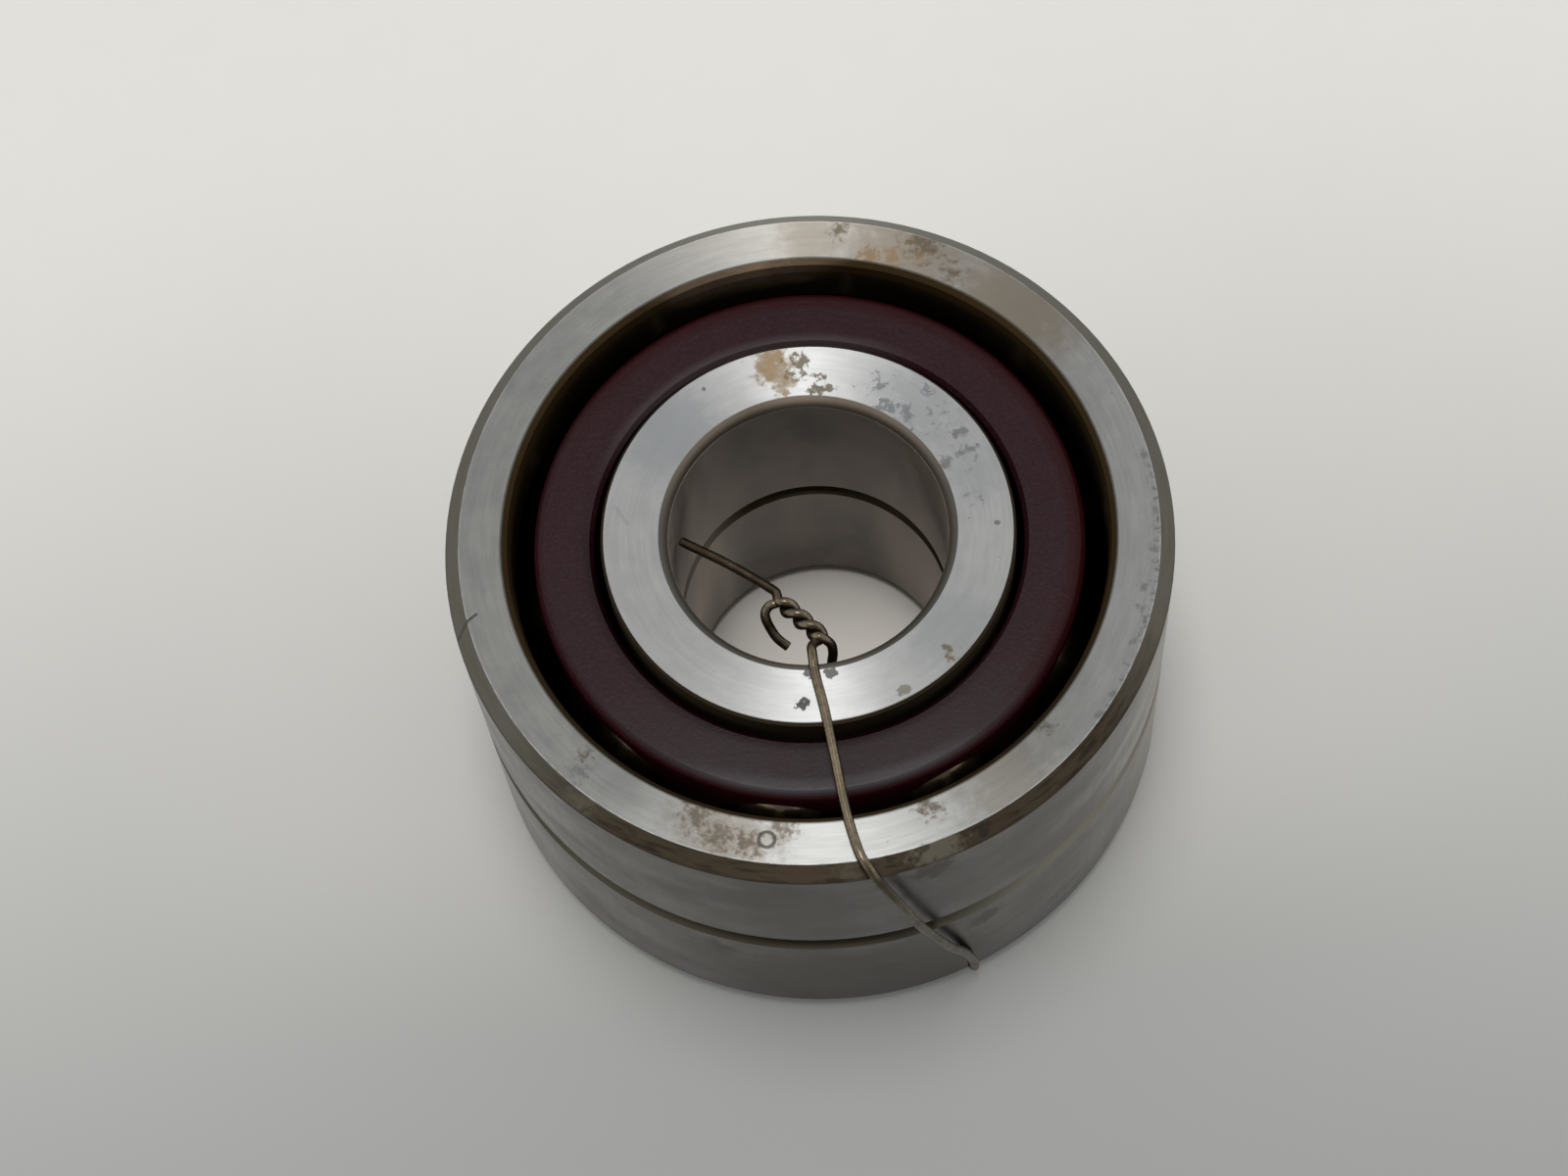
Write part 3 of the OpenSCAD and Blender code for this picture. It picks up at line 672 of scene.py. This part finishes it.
def makeLaminate():
    # cloth-filled resin: an even dark red with fine cloth threads and small pale flecks, greyer in front as
    # a painted sheen;
    # the sides are redder, the corner at the bore less so
    v = cage
    material, tree, shader, at = newMaterial("cageLaminate")
    radius = at["Radius"]
    side = ease(tree, at["Depth"], *v["sideDepth"])
    side = times(tree, side, mixValue(tree, ease(tree, radius, *v["sideRadius"]), v["boreCorner"], 1.0))
    front = ease(tree, at["Back"], *v["front"])
    weave = use(tree, turnedGrain, turn=at["Turn"], **v["weave"])["Grain"]
    fleck = laySpots(tree, at["Mm"], v["flecks"])
    colour = mixColour(tree, side, mixColour(tree, front, v["flat"], v["flatFrontSheen"]), v["side"])
    colour = mixColour(tree, times(tree, weave, v["threadAmount"]), colour, v["thread"])
    colour = mixColour(tree, times(tree, fleck, v["fleckAmount"]), colour, v["fleck"])

    # the flat's outer edge is redder on the right and behind, and has a painted highlight along the rim in
    # front
    outer = times(tree, ease(tree, radius, *v["outerEdge"]), ease(tree, at["Back"], *v["redBehind"]))
    outer = times(tree, outer, lean(tree, at, v["redSide"]))
    colour = mixColour(tree, times(tree, outer, rest(tree, side)), colour, v["edgeRed"])
    rimHighlight = rimLine(tree, at, v["rim"], v["recess"], v["rimWidth"])
    rimHighlight = times(tree, rimHighlight, ease(tree, at["Back"], *v["highlightAhead"]))
    colour = mixColour(tree, rimHighlight, colour, v["rimHighlight"])

    # at the bore it is darker in front and on the left, painted shade, and paler behind, a painted
    # reflection
    inner = ease(tree, radius, *v["innerEdge"])
    dark = times(tree, ease(tree, at["Back"], *v["darkAhead"]), lean(tree, at, v["darkSide"]))
    colour = mixColour(tree, times(tree, inner, dark), colour, v["edgeShade"])
    pale = lean(tree, at, v["paleSide"])
    colour = mixColour(tree, times(tree, inner, pale), colour, v["edgeReflection"])
    relief = calc(tree, "ADD", times(tree, weave, v["threadRelief"]), times(tree, fleck, v["fleckRelief"]))
    finish(tree, shader, colour, mixValue(tree, weave, *v["rough"]), relief=relief, strength=0.3)
    shader.inputs["Specular IOR Level"].default_value = v["gloss"]
    return material


ball = {
    "steel": (0.20, 0.165, 0.125, 1), "oil": (0.12, 0.092, 0.06, 1),
    "rough": 0.1, "filmRough": 0.06, "markRough": 0.03,
    "films": {"scale": 0.5, "cover": 0.7, "soft": 0.2},
    "marks": {"scale": 1.4, "cover": 0.4, "soft": 0.05, "stretch": (1, 1, 7)},
}


def makeBallSteel():
    # polished steel under a brown oil film, with a few rolling marks; both tones are painted dark as shade,
    # for balls deep in the gap between the rings
    v = ball
    material, tree, shader, at = newMaterial("ballSteel")
    film = laySpots(tree, at["Mm"], v["films"])
    marks = laySpots(tree, at["Mm"], v["marks"])
    colour = mixColour(tree, film, v["steel"], v["oil"])
    rough = calc(tree, "ADD", times(tree, film, v["filmRough"]), times(tree, marks, v["markRough"]))
    finish(tree, shader, colour, calc(tree, "ADD", rough, v["rough"]))
    shader.inputs["Metallic"].default_value = 1.0
    return material


finishes = {"outer_ring": makeOuterSteel(), "inner_ring": makeInnerSteel(), "cage": makeLaminate(),
            "ball": makeBallSteel()}
for name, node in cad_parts.items():
    nodeFinish = next(finishes[key] for key in finishes if key in name)
    for materialSlot in node.material_slots:
        materialSlot.material = nodeFinish
print("finishes laid on", len(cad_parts), "solids")


# tie wire, in mm: it runs from its tail along one strand of the twist, over the upper faces, down the
# outside ("drop", in degrees, radius and height), under the lower faces, up the bore, and back along the
# twist's other strand to the hook
tieWire = {
    "diameter": 0.70, "twistRadius": 0.36, "twistStart": (-2.4, -4.8, 28.8), "twistEnd": (0.15, -7.9, 29.2),
    "turns": 1.5, "phase": 60.0, "spacing": 0.1, "sides": 16, "rough": (0.27, 0.36),
    "streaks": {"scale": 0.6, "cover": 0.55, "soft": 0.25},
    "scales": {"scale": 3.0, "cover": 0.42, "soft": 0.15}, "scaleAmount": 0.45,
    "steel": (0.092, 0.073, 0.052, 1), "bright": (0.175, 0.143, 0.098, 1), "scale": (0.05, 0.036, 0.025, 1),
    "tail": [(-9.2, 2.6, 24.5), (-6.3, 0.2, 25.6), (-4.3, -1.85, 26.9), (-3.2, -3.2, 28.0),
             (-2.7, -3.95, 28.6)],
    "hook": [(-2.9, -4.9, 28.9), (-3.3, -5.0, 28.75), (-3.6, -5.3, 28.5), (-3.6, -5.7, 28.1),
             (-3.35, -6.2, 27.5), (-3.0, -6.7, 27.0), (-2.65, -7.0, 26.7), (-2.25, -7.3, 26.5)],
    "face": [(-0.35, -8.4, 29.4), (-0.6, -8.95, 30.0), (-0.6, -9.6, 30.38), (-0.55, -11, 30.4),
             (-0.2, -13.5, 30.38), (0.15, -17.0, 30.37), (0.5, -20.8, 30.37), (0.9, -23.3, 30.37)],
    "drop": [(-87.0, 24.9, 30.38), (-85.9, 25.8, 29.95), (-84.6, 26.5, 28.6), (-82.3, 27.1, 25.4),
             (-80.2, 27.25, 21.1), (-77.3, 27.2, 16.1), (-74.7, 27.0, 11.6), (-72.2, 26.65, 7.9),
             (-70.7, 26.45, 4.9), (-70.0, 26.42, 2.8), (-69.8, 26.2, 1.3), (-69.8, 25.6, 0.35),
             (-70.0, 24.8, -0.2), (-70.2, 23.9, -0.37)],
    "under": [(7.0, -20.6, -0.37), (4.7, -16.8, -0.37), (2.3, -13.3, -0.37), (1.0, -11.3, -0.36),
              (0.68, -10.2, -0.1), (0.6, -9.65, 0.7)],
    "boreRun": [(0.6, -9.55, 3.0), (0.6, -9.55, 9.0), (0.6, -9.55, 15.0), (0.6, -9.5, 20.0),
                (0.6, -9.35, 25.0), (0.7, -9.05, 27.0), (0.85, -8.75, 28.1), (0.75, -8.35, 28.8)],
}


def smoothPath(points, spacing, steps=24):
    # centripetal curve through the points: each span blends its four neighbours by the square root of
    # their distances, then the whole line is resampled at even spacing
    p = np.asarray(points, float)
    p = np.vstack([2 * p[0] - p[1], p, 2 * p[-1] - p[-2]])
    gap = np.sqrt(np.linalg.norm(np.diff(p, axis=0), axis=1))
    t = np.concatenate([[0], np.cumsum(gap)])
    a, b, c, d = (q[:, None, :] for q in (p[:-3], p[1:-2], p[2:-1], p[3:]))
    ta, tb, tc, td = (t[k:len(t) - 3 + k, None, None] for k in range(4))
    x = tb + (tc - tb) * np.linspace(0, 1, steps, endpoint=False)[None, :, None]
    ab = (tb - x) / (tb - ta) * a + (x - ta) / (tb - ta) * b
    bc = (tc - x) / (tc - tb) * b + (x - tb) / (tc - tb) * c
    cd = (td - x) / (td - tc) * c + (x - tc) / (td - tc) * d
    abc = (tc - x) / (tc - ta) * ab + (x - ta) / (tc - ta) * bc
    bcd = (td - x) / (td - tb) * bc + (x - tb) / (td - tb) * cd
    line = ((tc - x) / (tc - tb) * abc + (x - tb) / (tc - tb) * bcd).reshape(-1, 3)
    line = np.vstack([line, p[-2]])
    run = np.concatenate([[0], np.cumsum(np.linalg.norm(np.diff(line, axis=0), axis=1))])
    even = np.linspace(0, run[-1], int(run[-1] / spacing) + 1)
    return np.column_stack([np.interp(even, run, line[:, k]) for k in range(3)]), run[-1]


def unit(vectors):
    return vectors / np.linalg.norm(vectors, axis=-1, keepdims=True)


def twistStrand(v, offset, count=24):
    # helix round the twist's axis: start + s (end - start) + radius (cos of the turn, sin of the turn)
    start, end = np.array(v["twistStart"]), np.array(v["twistEnd"])
    along = unit(end - start)
    side = unit(np.cross(along, (0, 0, 1)))
    up = np.cross(side, along)
    s = np.linspace(0, 1, count)[:, None]
    turn = np.radians(v["phase"] + offset) + 2 * np.pi * v["turns"] * s
    return start + s * (end - start) + v["twistRadius"] * (np.cos(turn) * side + np.sin(turn) * up)


def tube(name, path, radius, sides, across=(0.62, 0.72, 0.31)):
    # path point + radius (cos a * side + sin a * up); side and up stand square to the run of the path,
    # and across is a direction that the path never runs along
    run = unit(np.gradient(path, axis=0))
    side = unit(np.cross(run, across))
    up = np.cross(side, run)
    a = np.linspace(0, 2 * np.pi, sides, endpoint=False)[None, :, None]
    ring = radius * (np.cos(a) * side[:, None, :] + np.sin(a) * up[:, None, :])
    points = (path[:, None, :] + ring).reshape(-1, 3) * mm
    rows = len(path)
    i, j = np.meshgrid(np.arange(rows - 1), np.arange(sides), indexing="ij")
    k = (j + 1) % sides
    here, there = i * sides, (i + 1) * sides
    quads = np.stack([here + j, here + k, there + k, there + j], -1).reshape(-1, 4)
    faces = quads.tolist() + [list(range(sides))[::-1], list(range((rows - 1) * sides, rows * sides))]
    mesh = bpy.data.meshes.new(name)
    mesh.from_pydata(points.tolist(), [], faces)
    mesh.polygons.foreach_set("use_smooth", [True] * len(quads) + [False, False])
    mesh.validate()
    mesh.update()
    piece = bpy.data.objects.new(name, mesh)
    bpy.context.scene.collection.objects.link(piece)
    return piece


def makeWireSteel():
    # drawn wire gone brown: soft streaks and small dark scale marks
    v = tieWire
    material, tree, shader, at = newMaterial("wireSteel")
    streaks = laySpots(tree, at["Mm"], v["streaks"])
    scale = laySpots(tree, at["Mm"], v["scales"])
    colour = mixColour(tree, streaks, v["steel"], v["bright"])
    colour = mixColour(tree, times(tree, scale, v["scaleAmount"]), colour, v["scale"])
    finish(tree, shader, colour, mixValue(tree, scale, *v["rough"]), relief=scale, strength=0.04)
    shader.inputs["Metallic"].default_value = 1.0
    return material


def makeTieWire():
    v = tieWire
    drop = [polar(radius, degrees, height) for degrees, radius, height in v["drop"]]
    route = np.vstack([v["tail"], twistStrand(v, 0), v["face"], drop, v["under"], v["boreRun"],
                       twistStrand(v, 180)[::-1], v["hook"]])
    path, length = smoothPath(route, v["spacing"])
    wire = tube("tie_wire", path, v["diameter"] / 2, v["sides"])
    wire.data.materials.append(makeWireSteel())
    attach(wire, "outer_rings")
    print("tie wire:", round(length, 1), "mm long,", len(wire.data.polygons), "faces")


makeTieWire()

# floor, lamp and room: the floor in mm, the lamp in m
stage = {
    "floorZ": -0.74, "floorSize": 3000, "floorShade": (-70.0, 62.0), "nearRadius": (26.0, 62.0),
    "nearBehind": (-28.0, -5.0), "underRadius": (8.0, 13.0), "floorTooth": grey(0.35), "floorRough": 0.75,
    "nearAmount": 0.3, "toothScale": 0.25, "toothAmount": 0.06,
    "floorFront": (0.248, 0.255, 0.249, 1), "floorBack": (0.63, 0.618, 0.583, 1),
    "floorUnder": (1.0, 0.95, 0.88, 1), "floorNear": (0.72, 0.70, 0.66, 1),
    "lampPlace": (-0.02, 0.02), "lampHeight": 1.0, "lampSize": (0.21, 0.42), "lampPower": 3.75,
    "roomFront": grey(0.33), "roomBack": grey(0.70), "roomSides": grey(1.5),
    "roomTurn": (-0.7, 0.7), "roomAside": (0.2, 0.75), "sideAmount": 0.8,
}


def makeFloor():
    # pale card with painted light and shade: lighter behind and darker in front, lighter close to the ring
    # except in front, and lighter where the bore shows it, with a very faint tooth
    material, tree, shader, at = newMaterial("paleCard")
    tone = ease(tree, at["Back"], *stage["floorShade"])
    colour = mixColour(tree, tone, stage["floorFront"], stage["floorBack"])
    near = ease(tree, at["Radius"], *stage["nearRadius"], 1.0, 0.0)
    near = times(tree, near, ease(tree, at["Back"], *stage["nearBehind"]), stage["nearAmount"])
    colour = mixColour(tree, near, colour, stage["floorNear"])
    under = ease(tree, at["Radius"], *stage["underRadius"], 1.0, 0.0)
    colour = mixColour(tree, under, colour, stage["floorUnder"])
    tooth = noise(tree, at["Mm"], stage["toothScale"], detail=4.0, rough=0.6)
    colour = mixColour(tree, times(tree, tooth, stage["toothAmount"]), colour, stage["floorTooth"])
    tree.links.new(colour, shader.inputs["Base Color"])
    shader.inputs["Roughness"].default_value = stage["floorRough"]
    half = stage["floorSize"] / 2 * mm
    z = stage["floorZ"] * mm
    mesh = bpy.data.meshes.new("floor")
    corners = [(-half, -half, z), (half, -half, z), (half, half, z), (-half, half, z)]
    mesh.from_pydata(corners, [], [(0, 1, 2, 3)])
    mesh.materials.append(material)
    floor = bpy.data.objects.new("floor", mesh)
    bpy.context.scene.collection.objects.link(floor)


def makeWorld():
    # soft room light: brighter behind, and brighter still towards both sides
    world = bpy.data.worlds.new("room")
    world.use_nodes = True
    bpy.context.scene.world = world
    tree = world.node_tree
    sky = put(tree, "ShaderNodeTexCoord").outputs["Generated"]
    way = put(tree, "ShaderNodeSeparateXYZ", {0: sky}).outputs
    colour = mixColour(tree, ease(tree, way[1], *stage["roomTurn"]), stage["roomFront"], stage["roomBack"])
    beside = ease(tree, calc(tree, "ABSOLUTE", way[0]), *stage["roomAside"])
    colour = mixColour(tree, times(tree, beside, stage["sideAmount"]), colour, stage["roomSides"])
    tree.links.new(colour, tree.nodes["Background"].inputs["Color"])


def makeLamp():
    lamp = bpy.data.lights.new("ceilingPanel", "AREA")
    lamp.shape = "RECTANGLE"
    lamp.size, lamp.size_y = stage["lampSize"]
    lamp.energy = stage["lampPower"]
    holder = bpy.data.objects.new("ceilingPanel", lamp)
    holder.location = (*stage["lampPlace"], stage["lampHeight"])
    bpy.context.scene.collection.objects.link(holder)


# camera: place and target in m, roll in degrees, lens in mm
view = {
    "place": (0.0, -0.099835, 0.253263), "target": (-0.002237, 0.002179, 0.015),
    "roll": -7.242, "lens": 79.16,
}


def makeCamera():
    data = bpy.data.cameras.new("camera")
    data.lens, data.sensor_width, data.sensor_fit = view["lens"], 36.0, "HORIZONTAL"
    data.clip_start = 0.01
    camera = bpy.data.objects.new("camera", data)
    bpy.context.scene.collection.objects.link(camera)
    back = (Vector(view["place"]) - Vector(view["target"])).normalized()
    right = Vector((0, 0, 1)).cross(back).normalized()
    up = back.cross(right)
    c, s = math.cos(math.radians(view["roll"])), math.sin(math.radians(view["roll"]))
    right, up = c * right + s * up, -s * right + c * up
    turn = Matrix((right, up, back)).transposed().to_4x4()
    camera.matrix_world = Matrix.Translation(Vector(view["place"])) @ turn
    bpy.context.scene.camera = camera


makeFloor()
makeWorld()
makeLamp()
makeCamera()
bpy.context.scene.view_settings.view_transform = "Standard"
print("floor, light and camera ready")
